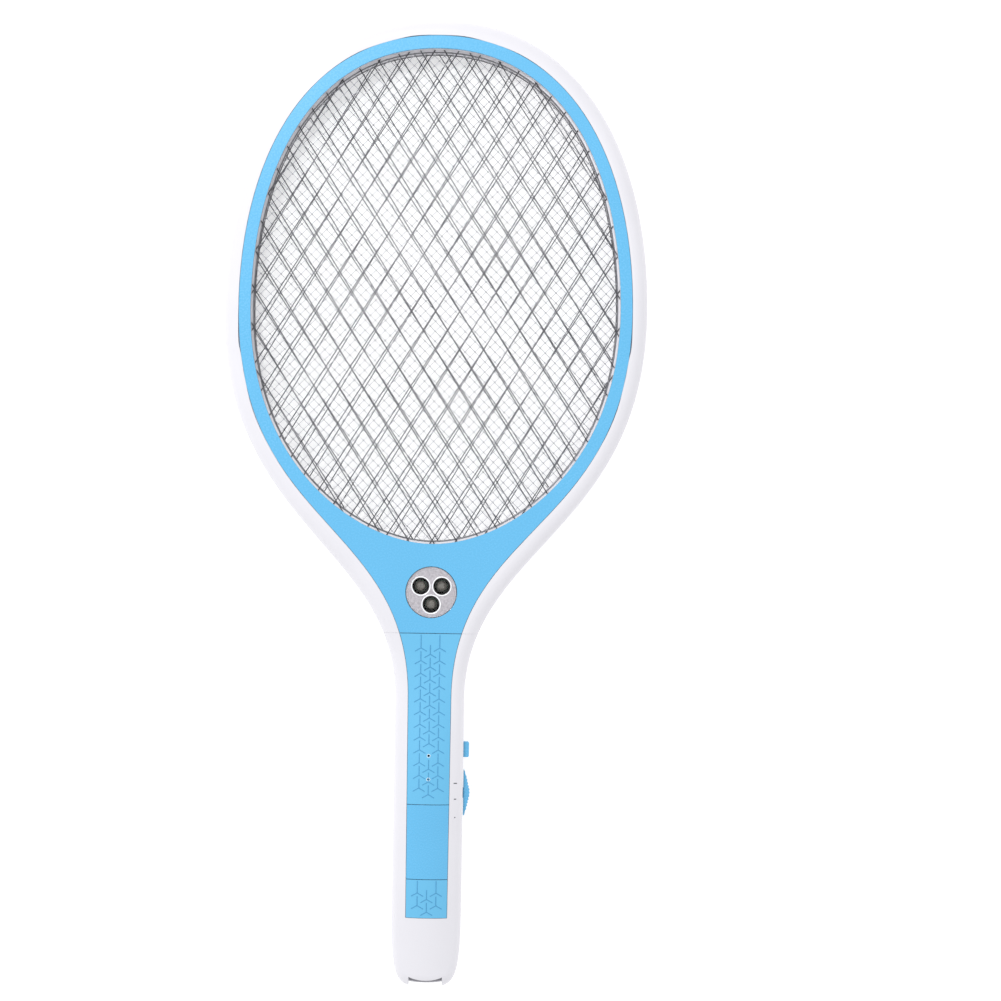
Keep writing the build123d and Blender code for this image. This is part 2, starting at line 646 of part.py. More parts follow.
def charging_socket():
    start = PORT_DEPTH - 0.4
    shell = block(near(0, SOCKET_WIDTH / 2), (start, start + SOCKET_LENGTH), near(SOCKET_Z, SOCKET_HEIGHT / 2))
    lower = [e for e in shell.edges().filter_by(Axis.Y) if e.center().Z < SOCKET_Z]
    shell = chamfer(lower, 0.7)
    hollow = block(near(0, SOCKET_WIDTH / 2 - 0.3), (start - 1, start + SOCKET_LENGTH - 0.5),
                   near(SOCKET_Z, SOCKET_HEIGHT / 2 - 0.3))
    hollow = chamfer([e for e in hollow.edges().filter_by(Axis.Y) if e.center().Z < SOCKET_Z], 0.6)
    return shell - hollow


def socket_tongue():
    start = PORT_DEPTH - 0.4
    return block(near(0, 1.9), (start + 0.8, start + SOCKET_LENGTH - 0.5), (SOCKET_Z, SOCKET_Z + 0.6))


# ======================================================================= leads

def lead(*points):
    """A wire through the points, each corner as wide as its two runs allow."""
    route = [Vector(*p) for p in points]
    radii = []
    for before, corner, after in zip(route, route[1:], route[2:]):
        turn = (corner - before).get_angle(after - corner)
        run = min((corner - before).length, (after - corner).length)
        radii.append(0.45 * run / tan(radians(turn / 2)))
    path = FilletPolyline(*route, radius=radii)
    return sweep(Plane(path @ 0, z_dir=path % 0) * Circle(LEAD_RADIUS), path=path)


def battery_leads():
    top, corner = CELL_Z + 9.0, SIDE - WALL - 3.3
    rear = CELL_START - 0.3 - LEAD_RADIUS
    front = CELL_START + CELL_LENGTH + 0.3 + LEAD_RADIUS
    return [
        lead((-6, rear, CELL_Z + 3), (-6, rear, top), (-corner, CELL_START + 5, top - 1),
             (-corner, BOARD_START - 1, top - 1), (-9, BOARD_START + 7.3, 13), (-9, BOARD_START + 7.3, BOARD_TOP)),
        lead((3.6, front, CELL_Z + 2), (3.6, front, CELL_Z + 6), (3.6, BOARD_START + 2, CELL_Z + 6),
             (3.6, BOARD_START + 2, BOARD_TOP)),
    ]


def charging_leads():
    over = CELL_Z + CELL_RADIUS + LEAD_RADIUS + 0.5
    start = CHARGE_BOARD_END - 1.8
    return [lead((x, start, CHARGE_BOARD_Z + CHARGE_BOARD[2]), (x, start, over),
                 (x, BOARD_START + 2.4, over), (x, BOARD_START + 2.4, BOARD_TOP)) for x in (-1.5, 1.5)]


def lamp_leads():
    start, over = BOARD_END - 1.5, BOARD_TOP + 2.8
    return [lead((x, start, BOARD_TOP), (x, start, over), (x, LAMP_STATION - 7, over),
                 (x, LAMP_STATION - 7, LAMP_BOARD_Z)) for x in (-1.5, 1.5)]


def high_voltage_leads():
    start, over, foot = BOARD_END - 1.7, BOARD_TOP + 2.3, CONTACT_FOOT + 1
    end = WIDEST - OPENING_BELOW - FLANGE - 1
    return [lead((x * 0.6, start, BOARD_TOP), (x * 0.6, start, over), (x * 0.6, BOARD_END + 3.5, over),
                 (x, SEAM, foot), (x, end, foot)) for x in CONTACT_X]


# ======================================================================= the whole swatter

head_front, head_back = head_shells()
handle_front, handle_back = handle_shells()
core, winding, bobbin = transformer_parts()

write("head_front_shell", head_front)
write("head_back_shell", head_back)
write("handle_front_shell", handle_front)
write("handle_back_shell", handle_back)
write("neck_cover", neck_cover())
write("grip_upper", grip_strip(PANEL_END, SEAM))
write("grip_panel", grip_strip(PANEL_START, PANEL_END))
write("grip_lower", grip_strip(TRIM_START - SEAM_GAP, PANEL_START))
write("front_grid", coarse_grid(FRONT_GRID_Z, 0))
write("rear_grid", coarse_grid(REAR_GRID_Z, REAR_TURN))
write("middle_grid", *fine_grid())
write("front_spacer", opening_ring(-LIP, FLANGE, FRONT_SPACER_Z, FRONT_GRID_Z))
write("rear_spacer", opening_ring(-LIP, FLANGE, REAR_GRID_Z + BAR, MIDDLE_GRID_Z))
write("grid_contacts", *grid_contacts())
write("lamp_lens", lamp_lens())
write("lamp_reflector", lamp_reflector())
write("lamp_leds", *[round_led(LED_RADIUS, LAMP_BOARD_Z + BOARD_THICKNESS, 5.2, x, y) for x, y in cup_places()])
write("lamp_board", lamp_board())
write("push_button", push_button())
write("button_plunger", button_plunger())
write("button_switch", button_switch())
write("slide_knob", slide_knob())
write("slide_lever", slide_lever())
write("slide_switch_body", slide_switch_body())
write("circuit_board", circuit_board())
write("transformer_core", core)
write("transformer_winding", winding)
write("transformer_bobbin", bobbin)
write("storage_capacitor", storage_capacitor())
write("disc_capacitors", *disc_capacitors())
write("diodes", *diodes())
write("resistors", *resistors())
write("switching_transistor", switching_transistor())
write("indicator_leds", *indicator_leds())
write("battery_cell", cell())
write("battery_tabs", *battery_tabs())
write("charge_board", charge_board())
write("charging_socket", charging_socket())
write("socket_tongue", socket_tongue())
write("battery_leads", *battery_leads())
write("charging_leads", *charging_leads())
write("lamp_leads", *lamp_leads())
write("high_voltage_leads", *high_voltage_leads())
write("shell_screws", *shell_screws())
write("board_screws", *board_screws())
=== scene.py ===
from math import cos, pi, radians, sin

import bmesh
import bpy
from mathutils import Matrix, Vector
from mathutils.bvhtree import BVHTree
from mathutils.geometry import interpolate_bezier


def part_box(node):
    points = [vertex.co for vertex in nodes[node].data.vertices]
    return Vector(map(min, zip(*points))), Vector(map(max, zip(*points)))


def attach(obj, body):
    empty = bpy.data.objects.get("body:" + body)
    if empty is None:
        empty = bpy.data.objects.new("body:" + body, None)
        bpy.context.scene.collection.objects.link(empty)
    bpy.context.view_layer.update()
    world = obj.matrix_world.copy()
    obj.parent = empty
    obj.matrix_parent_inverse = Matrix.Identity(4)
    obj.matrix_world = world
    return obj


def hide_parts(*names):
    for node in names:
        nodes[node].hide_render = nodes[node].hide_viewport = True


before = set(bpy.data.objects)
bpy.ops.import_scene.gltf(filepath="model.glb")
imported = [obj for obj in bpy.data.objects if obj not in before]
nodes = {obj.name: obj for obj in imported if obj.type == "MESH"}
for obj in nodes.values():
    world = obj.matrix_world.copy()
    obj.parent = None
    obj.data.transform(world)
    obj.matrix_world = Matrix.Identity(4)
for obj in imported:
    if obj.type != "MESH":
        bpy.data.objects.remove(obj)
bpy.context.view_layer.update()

# ==== White shells
# The head and the handle are each two injection-moulded halves, front and back, screwed
# together from behind. The tool faces are finely spark-eroded, so the plastic is satin.


def linear(colour):
    """An sRGB hex colour as linear red, green and blue, with full alpha."""
    parts = [int(colour[i:i + 2], 16) / 255 for i in (1, 3, 5)]
    return [p / 12.92 if p <= 0.04045 else ((p + 0.055) / 1.055) ** 2.4 for p in parts] + [1.0]


def add(material, kind, inputs, **settings):
    """Adds a shader node with its settings, and values or links for its inputs."""
    made = material.node_tree.nodes.new("ShaderNode" + kind)
    for name, value in settings.items():
        setattr(made, name, value)
    for name, value in inputs.items():
        if isinstance(value, bpy.types.NodeSocket):
            material.node_tree.links.new(value, made.inputs[name])
        else:
            made.inputs[name].default_value = value
    return made


def surface(name, **principled):
    """An empty material with its output, and its shader with the given constant inputs."""
    material = bpy.data.materials.new(name)
    material.use_nodes = True
    material.node_tree.nodes.clear()
    inputs = {key.replace("_", " "): value for key, value in principled.items()}
    shader = add(material, "BsdfPrincipled", inputs)
    add(material, "OutputMaterial", {"Surface": shader.outputs[0]})
    return material, shader


def moulded(name, low, high, grain, relief, rough, edge=0.0003, **principled):
    """A moulded plastic: slow shifts between two near colours, a fine grain, rounded edges."""
    material, shader = surface(name, **principled)
    place = add(material, "TexCoord", {}).outputs["Object"]
    cloud = add(material, "TexNoise", {"Vector": place, "Scale": 1 / 0.035, "Detail": 2.0})
    colour = add(material, "Mix", {0: cloud.outputs[0], 6: linear(low), 7: linear(high)},
                 data_type="RGBA")
    fine = add(material, "TexNoise", {"Vector": place, "Scale": 1 / grain, "Detail": 3.0})
    gloss = add(material, "MapRange", {0: fine.outputs[0], 3: rough - 0.06, 4: rough + 0.06})
    soft = add(material, "Bevel", {"Radius": edge}, samples=4)
    bump = add(material, "Bump", {"Strength": relief, "Distance": 0.00008,
                                  "Height": fine.outputs[0], "Normal": soft.outputs[0]})
    links = material.node_tree.links
    links.new(colour.outputs[2], shader.inputs["Base Color"])
    links.new(gloss.outputs[0], shader.inputs["Roughness"])
    links.new(bump.outputs[0], shader.inputs["Normal"])
    return material


def dress(material, *names):
    """Gives CAD nodes their finish."""
    for name in names:
        for slot in nodes[name].material_slots:
            slot.material = material


# Satin white ABS, a little cool. Light spreads in a wide soft sheen over a 0.5 mm grain,
# which is drawn coarser than the real 0.1 mm so that it shows.
white_abs = moulded("satin white ABS", "#D3D2D8", "#D9D8DE", 0.0005, 0.25, 0.42, IOR=1.54)
dress(white_abs, "head_front_shell", "head_back_shell", "handle_front_shell", "handle_back_shell")

# ==== Insulating rings
# Two plain ABS rings keep the three grids apart. Only their inner edges show, as a thin
# white lip inside the blue ring, under the wires' ends.

# The same white ABS left plain, so slightly glossier than the outside. It is painted lighter than
# the shells, painted light that offsets the shade in the deep lip.
ring_abs_painted_lighter = moulded("plain white ABS painted lighter", "#EDECF1", "#F2F1F6", 0.0004, 0.1, 0.35, IOR=1.54)
dress(ring_abs_painted_lighter, "front_spacer", "rear_spacer")

# ==== Blue ring and neck
# One moulding in sky-blue ABS, polished in the tool, glued into a step of the front shell.

# Polished ABS: an even colour with clear, soft-edged reflections and bright rounded edges.
blue_abs = moulded("polished sky-blue ABS", "#58ABD8", "#5DB0DD", 0.0008, 0.06, 0.27, IOR=1.54)
dress(blue_abs, "neck_cover", "grip_panel")

# ==== Patterned grip strips
# Three inlays run down the handle, a plain one between two with thin raised Y shapes. The
# ridges are moulded on, 0.2 mm high, in three columns with the middle one half a step off.

# Soft-touch TPE: matt, with broad dull highlights and almost no reflection.
blue_tpe = moulded("matt sky-blue TPE", "#5DAED7", "#62B2DB", 0.0006, 0.3, 0.5, IOR=1.5)
dress(blue_tpe, "grip_upper", "grip_lower")

# The ridges are a duller, deeper blue: painted shade for their flanks.
ridge_tpe_painted_shade = moulded("ridged sky-blue TPE, painted shade", "#3F8DBA", "#4A98C5", 0.0004, 0.3, 0.55, 0.0001,
                    IOR=1.5)

RIDGE_WIDTH = 0.00042
RIDGE_HEIGHT = 0.0002
RIDGE_PITCH = 0.00594
RIDGE_COLUMN = 0.0044
STEM = 0.0043
ARM = 0.0032
STRIP_END_GAP = 0.0005
LAST_APEX = 0.0018


def drop(tree, x, y):
    """The surface's highest point over a place, or None beside it."""
    return tree.ray_cast(Vector((x, y, 0.1)), Vector((0, 0, -1)))[0]


def ridge(bm, tree, start, end):
    """One raised line between two points of the strip, laid on its surface by a tree."""
    along = (end - start).normalized()
    made = bmesh.ops.create_cone(bm, cap_ends=True, segments=6, radius1=RIDGE_WIDTH / 2,
                                 radius2=RIDGE_WIDTH / 2, depth=(end - start).length)
    across = Vector((-along.y, along.x, 0))
    turn = Matrix((across, Vector((0, 0, 1)), along)).transposed().to_4x4()
    move = Matrix.Translation((start + end) / 2)
    bmesh.ops.transform(bm, verts=made["verts"], matrix=move @ turn)
    for vert in made["verts"]:
        top = drop(tree, vert.co.x, vert.co.y)
        vert.co.z = top.z + vert.co.z * 2 * RIDGE_HEIGHT / RIDGE_WIDTH


def new_piece(name, bm, material, body):
    """An object from a finished bmesh, riding on a body."""
    mesh = bpy.data.meshes.new(name)
    bm.to_mesh(mesh)
    bm.free()
    mesh.materials.append(material)
    piece = bpy.data.objects.new(name, mesh)
    bpy.context.collection.objects.link(piece)
    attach(piece, body)
    return piece


def fits(tree, *points):
    """Whether every point lies over the strip."""
    return all(drop(tree, p.x, p.y) is not None for p in points)


for name, apex_offset in (("grip_upper", -0.0067), ("grip_lower", -0.0061)):
    low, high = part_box(name)
    tree = BVHTree.FromObject(nodes[name], bpy.context.evaluated_depsgraph_get())
    bm = bmesh.new()
    for column in (-1, 0, 1):
        x = column * RIDGE_COLUMN
        apex = high.y + apex_offset - (0 if column else RIDGE_PITCH / 2)
        stem_end = high.y - STRIP_END_GAP if column else apex + STEM
        while apex > low.y + LAST_APEX:
            middle = Vector((x, apex, 0))
            arms = [middle + Vector((side * ARM * cos(pi / 6), -ARM * sin(pi / 6), 0))
                    for side in (-1, 1)]
            for end in [Vector((x, stem_end, 0))] + arms:
                if fits(tree, middle, end):
                    ridge(bm, tree, middle, end)
            apex -= RIDGE_PITCH
            stem_end = apex + STEM
    new_piece(name + "_ridges", bm, ridge_tpe_painted_shade, "racket")

# ==== Pinholes of the indicator lamps
# Two small holes in the upper strip let the charging lamps show. Round each lies a thin
# pale ring, a painted highlight along the hole's edge.

# A pale blue-white ring: painted highlight round the hole's edge.
pale_halo_highlight = moulded("pale painted highlight ring", "#CFE8F6", "#DDF0FA", 0.0003, 0.05, 0.2, IOR=1.49)
HALO_RADIUS = 0.00075
HALO_WIRE = 0.00016
LED_RADIUS = 0.0015
BESIDE_HOLE = 0.0009


def ring(bm, x, y, z, radius, thick, steps=32):
    """A torus round the vertical, spun from a small circle."""
    turn = Matrix.Translation((x + radius, y, z)) @ Matrix.Rotation(pi / 2, 4, "X")
    made = bmesh.ops.create_circle(bm, segments=8, radius=thick, matrix=turn)
    edges = list({e for v in made["verts"] for e in v.link_edges})
    bmesh.ops.spin(bm, geom=made["verts"] + edges, cent=(x, y, z), axis=(0, 0, 1),
                   angle=2 * pi, steps=steps, use_merge=True)


led_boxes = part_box("indicator_leds")
tree = BVHTree.FromObject(nodes["grip_upper"], bpy.context.evaluated_depsgraph_get())
bm = bmesh.new()
for y in (led_boxes[0].y + LED_RADIUS, led_boxes[1].y - LED_RADIUS):
    ring(bm, 0, y, drop(tree, BESIDE_HOLE, y).z, HALO_RADIUS, HALO_WIRE)
bmesh.ops.recalc_face_normals(bm, faces=bm.faces)
new_piece("pinhole_highlight_rings", bm, pale_halo_highlight, "racket")

# ==== Coarse outer grids
# Straight round steel wires, 0.5 mm thick, laid in two crossing layers and spot-welded. They
# are welded to a rim wire too, and clamped under the blue ring and under the rear wall.

# Bare drawn steel wire: dark grey, fine lines along it, mid gloss, a little dull oxide.
drawn_steel, shader = surface("drawn steel wire", Metallic=1.0)
place = add(drawn_steel, "TexCoord", {}).outputs["Object"]
oxide = add(drawn_steel, "TexNoise", {"Vector": place, "Scale": 1 / 0.004, "Detail": 4.0})
tint = add(drawn_steel, "Mix", {0: oxide.outputs[0], 6: linear("#5A5A5E"), 7: linear("#98989C")},
           data_type="RGBA")
dull = add(drawn_steel, "MapRange", {0: oxide.outputs[0], 3: 0.24, 4: 0.42})
drawn_steel.node_tree.links.new(tint.outputs[2], shader.inputs["Base Color"])
drawn_steel.node_tree.links.new(dull.outputs[0], shader.inputs["Roughness"])

FLANGE = 0.004
BAR = 0.0005
PITCH = 0.00964
ANGLE = 57.7
REAR_TURN = 1.4
LAYER_LIFT = 0.0002
SHORTEST_WIRE = 0.003
MESH_REACH = 0.2
WIRE_OVERRUN = 0.0012
INNER_RIM = (-0.0012, 0.0003)
OUTER_RIM = (0.0016, 0.00035)
low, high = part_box("front_spacer")
HALF = high.x - FLANGE
TOP = high.y - FLANGE
BOTTOM = low.y + FLANGE
WIDEST = BOTTOM + 0.110


def rim_beziers(grow):
    """The right half of the mesh opening's outline, grown all round, as two Beziers."""
    half, bottom, top = HALF + grow, BOTTOM - grow, TOP + grow
    middle = WIDEST
    rise = top - middle
    return [
        [Vector(p) for p in ((0, bottom, 0), (0.4 * half, bottom, 0),
                             (half, middle - 0.68 * (middle - bottom), 0), (half, middle, 0))],
        [Vector(p) for p in ((half, middle, 0), (half, middle + 0.54 * rise, 0),
                             (0.68 * half, top, 0), (0, top, 0))],
    ]


def rim_points(grow):
    """Points all round the opening's outline."""
    right = [p for bezier in rim_beziers(grow) for p in interpolate_bezier(*bezier, 40)[:-1]]
    right.append(Vector((0, TOP + grow, 0)))
    return right + [Vector((-p.x, p.y, 0)) for p in right[-2:0:-1]]


def span(outline, origin, along):
    """Where a straight line enters and leaves the outline, as distances along it, or None."""
    across = Vector((-along.y, along.x, 0))
    sides = [(p - origin).dot(across) for p in outline]
    cuts = []
    for i, side in enumerate(sides):
        other = sides[i - 1]
        if (side < 0) != (other < 0):
            share = other / (other - side)
            cuts.append((outline[i - 1].lerp(outline[i], share) - origin).dot(along))
    return (min(cuts), max(cuts)) if cuts else None


def straight_wires(bm, outline, turn, pitch, z, radius, segments):
    """Parallel wires across the outline, each cut where it meets it."""
    along = Vector((cos(turn), sin(turn), 0))
    across = Vector((-along.y, along.x, 0))
    reach = int(MESH_REACH / pitch)
    for k in range(-reach, reach + 1):
        origin = Vector((0, WIDEST, 0)) + across * k * pitch
        ends = span(outline, origin, along)
        if ends and ends[1] - ends[0] > SHORTEST_WIRE:
            middle = origin + along * (ends[0] + ends[1]) / 2
            lay = Matrix.Translation((middle.x, middle.y, z)) @ Matrix.Rotation(turn, 4, "Z")
            bmesh.ops.create_cone(bm, cap_ends=True, segments=segments, radius1=radius,
                                  radius2=radius, depth=ends[1] - ends[0],
                                  matrix=lay @ Matrix.Rotation(pi / 2, 4, "Y"))


def rim_wire(bm, grow, z, radius):
    """A round wire bent along the opening's outline."""
    curve = bpy.data.curves.new("rim", "CURVE")
    curve.dimensions = "3D"
    curve.bevel_depth, curve.bevel_resolution, curve.resolution_u = radius, 2, 32
    curve.splines.new("BEZIER")
    line = curve.splines[0]
    line.bezier_points.add(3)
    lower, upper = rim_beziers(grow)
    mirror = Matrix.Diagonal((-1, 1, 1))
    knots = [
        (mirror @ lower[1], lower[0], lower[1]),
        (lower[2], lower[3], upper[1]),
        (upper[2], upper[3], mirror @ upper[2]),
        (mirror @ upper[1], mirror @ upper[0], mirror @ lower[2]),
    ]
    rise = Vector((0, 0, z))
    for point, (left, middle, right) in zip(line.bezier_points, knots):
        point.handle_left, point.co, point.handle_right = left + rise, middle + rise, right + rise
    line.use_cyclic_u = True
    bent = bpy.data.objects.new("rim", curve)
    mesh = bpy.data.meshes.new_from_object(bent)
    bm.from_mesh(mesh)
    bpy.data.objects.remove(bent)
    bpy.data.curves.remove(curve)
    bpy.data.meshes.remove(mesh)


for name, turn, lift in (("front_grid", 0, LAYER_LIFT), ("rear_grid", REAR_TURN, -LAYER_LIFT)):
    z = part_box(name)[0].z + BAR / 2
    outline = rim_points(WIRE_OVERRUN)
    bm = bmesh.new()
    straight_wires(bm, outline, radians(turn + ANGLE), PITCH, z, BAR / 2, 8)
    straight_wires(bm, outline, radians(turn - ANGLE), PITCH, z + lift, BAR / 2, 8)
    for grow, radius in (INNER_RIM, OUTER_RIM):
        rim_wire(bm, grow, z, radius)
    bmesh.ops.recalc_face_normals(bm, faces=bm.faces)
    for face in bm.faces:
        face.smooth = len(face.verts) == 4
    wires = new_piece(name + "_wires", bm, drawn_steel, "racket")
    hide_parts(name)

# ==== Fine middle grid
# A net of thin galvanised wires at 45 degrees, woven about 3.4 mm apart. A small dark bead
# sits at each crossing, painted shade where the wires touch.

# Zinc-coated wire: pale, cool grey, soft gloss with small spangles.
zinc, shader = surface("galvanised wire", Metallic=0.85)
place = add(zinc, "TexCoord", {}).outputs["Object"]
spangle = add(zinc, "TexVoronoi", {"Vector": place, "Scale": 1 / 0.0015})
tint = add(zinc, "Mix", {0: spangle.outputs[0], 6: linear("#A9AAAF"), 7: linear("#D2D3D8")},
           data_type="RGBA")
dull = add(zinc, "MapRange", {0: spangle.outputs[0], 3: 0.3, 4: 0.5})
zinc.node_tree.links.new(tint.outputs[2], shader.inputs["Base Color"])
zinc.node_tree.links.new(dull.outputs[0], shader.inputs["Roughness"])
dress(zinc, "middle_grid")

# Dark grey beads with a low, broken gloss: painted contact shade at the crossings.
crossing_shade_beads = moulded("dark crossing beads, painted shade", "#4A4A4E", "#66666A", 0.0003, 0.4, 0.5, 0.0001, Metallic=0.7)

FINE_PITCH = 0.00335
BEAD = 0.0004
low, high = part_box("middle_grid")
outline = rim_points(-WIRE_OVERRUN)
bm = bmesh.new()
step = Vector((cos(pi / 4), sin(pi / 4), 0)) * FINE_PITCH
other = Vector((-step.y, step.x, 0))
reach = int(MESH_REACH / FINE_PITCH)
for i in range(-reach, reach + 1):
    line_start = Vector((0, WIDEST, 0)) + other * i
    ends = span(outline, line_start, step.normalized())
    for j in range(-reach, reach + 1):
        if ends and ends[0] < j * FINE_PITCH < ends[1]:
            spot = line_start + step * j
            bmesh.ops.create_icosphere(bm, subdivisions=1, radius=BEAD, matrix=Matrix.Translation(
                (spot.x, spot.y, (low.z + high.z) / 2)))
for face in bm.faces:
    face.smooth = True
new_piece("middle_grid_shade_beads", bm, crossing_shade_beads, "racket")

# ==== Torch in the neck
# Three white LEDs sit in metallised cups under a clear acrylic disc. The flat plate between
# the cups is silvery and lightly stippled, and each cup has a thin rim, painted bright.

# Vacuum-metallised plastic: bright stippled plate; the bowls below its face are tinted darker,
# painted shade deep in the cups.
metallised, shader = surface("metallised reflector", Metallic=1.0)
place = add(metallised, "TexCoord", {}).outputs["Object"]
height = add(metallised, "SeparateXYZ", {0: place}).outputs[2]
plate_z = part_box("lamp_reflector")[1].z
on_plate = add(metallised, "MapRange", {0: height, 1: plate_z - 0.0006, 2: plate_z - 0.0001})
stipple = add(metallised, "TexNoise", {"Vector": place, "Scale": 1 / 0.0012, "Detail": 3.0})
plate = add(metallised, "Mix", {0: stipple.outputs[0], 6: linear("#A29DA2"), 7: linear("#E2DCE2")},
            data_type="RGBA")
# Below the plate the colour drops to a dark grey: painted shade in the cups.
tint = add(metallised, "Mix", {0: on_plate.outputs[0], 6: linear("#6A6467"), 7: plate.outputs[2]},
           data_type="RGBA")
dull = add(metallised, "MapRange", {0: on_plate.outputs[0], 3: 0.1, 4: 0.34})
rough = add(metallised, "Math", {0: on_plate.outputs[0], 1: 0.6}, operation="MULTIPLY")
bump = add(metallised, "Bump", {"Strength": rough.outputs[0], "Distance": 0.00025,
                                "Height": stipple.outputs[0]})
metallised.node_tree.links.new(tint.outputs[2], shader.inputs["Base Color"])
metallised.node_tree.links.new(dull.outputs[0], shader.inputs["Roughness"])
metallised.node_tree.links.new(bump.outputs[0], shader.inputs["Normal"])
dress(metallised, "lamp_reflector")

# The cups' raised rims: near white and faintly glowing, a painted highlight.
rim_painted_highlight = moulded("metallised rim, painted highlight", "#F4F3F5", "#FDFCFE", 0.0006, 0.05, 0.16, 0.0001,
                     Metallic=0.2, Emission_Color=linear("#FFFFFF"), Emission_Strength=0.2)

# Clear cast acrylic: a glass-like disc with a polished face and faint ripples.
acrylic, shader = surface("clear acrylic", Base_Color=linear("#F4F8FA"), Roughness=0.03,
                          IOR=1.49, Transmission_Weight=1.0, Alpha=0.3)
place = add(acrylic, "TexCoord", {}).outputs["Object"]
ripple = add(acrylic, "TexNoise", {"Vector": place, "Scale": 1 / 0.006, "Detail": 1.0})
bump = add(acrylic, "Bump", {"Strength": 0.08, "Distance": 0.0002, "Height": ripple.outputs[0]})
acrylic.node_tree.links.new(bump.outputs[0], shader.inputs["Normal"])
dress(acrylic, "lamp_lens")

# Clear epoxy over a yellow phosphor chip, tinted a dull grey-brown: a warm cast for the chip, with
# painted shade of the deep cup.
epoxy, shader = surface("LED epoxy", Roughness=0.06, IOR=1.5, Transmission_Weight=0.35)
place = add(epoxy, "TexCoord", {}).outputs["Object"]
swirl = add(epoxy, "TexNoise", {"Vector": place, "Scale": 1 / 0.002, "Detail": 2.0})
tint = add(epoxy, "Mix", {0: swirl.outputs[0], 6: linear("#6E6962"), 7: linear("#A8A39A")},
           data_type="RGBA")
epoxy.node_tree.links.new(tint.outputs[2], shader.inputs["Base Color"])
dress(epoxy, "lamp_leds", "indicator_leds")

CUP_RADIUS = 0.0046
CUP_CIRCLE = 0.0057
CUP_RIM = 0.0004
low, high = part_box("lamp_reflector")
lamp_y = (low.y + high.y) / 2
bm = bmesh.new()
for angle in (30, 150, 270):
    x = CUP_CIRCLE * cos(radians(angle))
    y = lamp_y + CUP_CIRCLE * sin(radians(angle))
    ring(bm, x, y, high.z - CUP_RIM * 0.8, CUP_RADIUS - CUP_RIM / 2, CUP_RIM, steps=64)
bmesh.ops.recalc_face_normals(bm, faces=bm.faces)
for face in bm.faces:
    face.smooth = True
new_piece("lamp_cup_rims", bm, rim_painted_highlight, "racket")

# ==== Push button and mode slide
# The blue button and the blue slide stand out of the handle's right side. The slide's back
# is ribbed so that a thumb can push it, and three small bars on the shell mark its places.
dress(blue_abs, "push_button", "slide_knob")

RIB = 0.00032
RIB_PITCH = 0.0015
RIBS_EACH_WAY = 5
low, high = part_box("slide_knob")
tree = BVHTree.FromObject(nodes["slide_knob"], bpy.context.evaluated_depsgraph_get())
bm = bmesh.new()
middle = (low.y + high.y) / 2
for k in range(-RIBS_EACH_WAY, RIBS_EACH_WAY + 1):
    y = middle + k * RIB_PITCH
    face = tree.ray_cast(Vector((0.1, y, (low.z + high.z) / 2)), Vector((-1, 0, 0)))[0]
    bmesh.ops.create_cone(bm, cap_ends=True, segments=8, radius1=RIB, radius2=RIB,
                          depth=(high.z - low.z) * 0.94,
                          matrix=Matrix.Translation((face.x, y, (low.z + high.z) / 2)))
bmesh.ops.bevel(bm, geom=[e for e in bm.edges if len({round(v.co.z, 6) for v in e.verts}) == 1],
                offset=RIB * 0.3, segments=2, profile=0.5, affect="EDGES", material=-1)
new_piece("slide_ribs", bm, blue_abs, "slide")

# Pad-printed ink: thin, even, dark grey with a dry finish.
ink = moulded("grey pad-printing ink", "#55565C", "#606168", 0.0003, 0.2, 0.6, 0.0001, IOR=1.45)
MARK_LENGTHS = (0.0016, 0.0011, 0.0006)
MARK_PLACES = (0.0052, -0.0022, -0.0108)
MARK_X = 0.0127
MARK_WIDTH = 0.0005
INK = 0.00003
tree = BVHTree.FromObject(nodes["handle_front_shell"], bpy.context.evaluated_depsgraph_get())
bm = bmesh.new()
for offset, length in zip(MARK_PLACES, MARK_LENGTHS):
    made = bmesh.ops.create_grid(bm, x_segments=6, y_segments=2, size=0.5,
                                 matrix=Matrix.Translation((MARK_X, middle + offset, 0))
                                 @ Matrix.Diagonal((length, MARK_WIDTH, 1, 1)))
    for vert in made["verts"]:
        vert.co.z = drop(tree, vert.co.x, vert.co.y).z + INK
bmesh.ops.solidify(bm, geom=bm.faces[:], thickness=INK)
bmesh.ops.recalc_face_normals(bm, faces=bm.faces)
new_piece("slide_marks", bm, ink, "racket")

# Glass-filled nylon of the switches and the socket's tongue: black, faintly fibrous.
black_nylon = moulded("black glass-filled nylon", "#1B1B1D", "#262629", 0.0003, 0.4, 0.45)
dress(black_nylon, "button_switch", "button_plunger", "slide_lever", "slide_switch_body",
      "transformer_bobbin", "socket_tongue", "switching_transistor")

# ==== Painted shade in the charging notch
# A thin grey sheet lies on the floor of the notch in the butt, painted shade of the recess. It is
# cut to the notch's bowed inner wall and to the butt's rounded end.

# Matt grey with a dry sheen: painted shade on the notch floor.
notch_painted_shade = moulded("grey painted notch shade", "#8C8B91", "#98979D", 0.0004, 0.3, 0.7, 0.0001,
                      IOR=1.41)
NOTCH_HALF = 0.0077
NOTCH_BOW = 0.0016
PAD = 0.0004
PAD_Z = 0.0082
PAD_NEAR = 0.0003
PAD_FAR = 0.0035
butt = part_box("handle_back_shell")[0].y
bm = bmesh.new()
made = bmesh.ops.create_grid(bm, x_segments=24, y_segments=4, size=1.0)
for vert in made["verts"]:
    x = vert.co.x * NOTCH_HALF
    bow = NOTCH_BOW * (x / NOTCH_HALF) ** 2
    near = butt + PAD_NEAR + 0.5 * bow
    far = butt + PAD_FAR + bow
    vert.co = (x, near + (vert.co.y + 1) / 2 * (far - near), PAD_Z)
bmesh.ops.solidify(bm, geom=bm.faces[:], thickness=PAD)
bmesh.ops.recalc_face_normals(bm, faces=bm.faces)
new_piece("charging_notch_shade", bm, notch_painted_shade, "racket")

# ==== Screws and other bright metal
# Self-tapping screws hold the shells and the boards. The port's shell and the battery's tabs
# are nickel-plated steel, and the grids' contacts are brass.


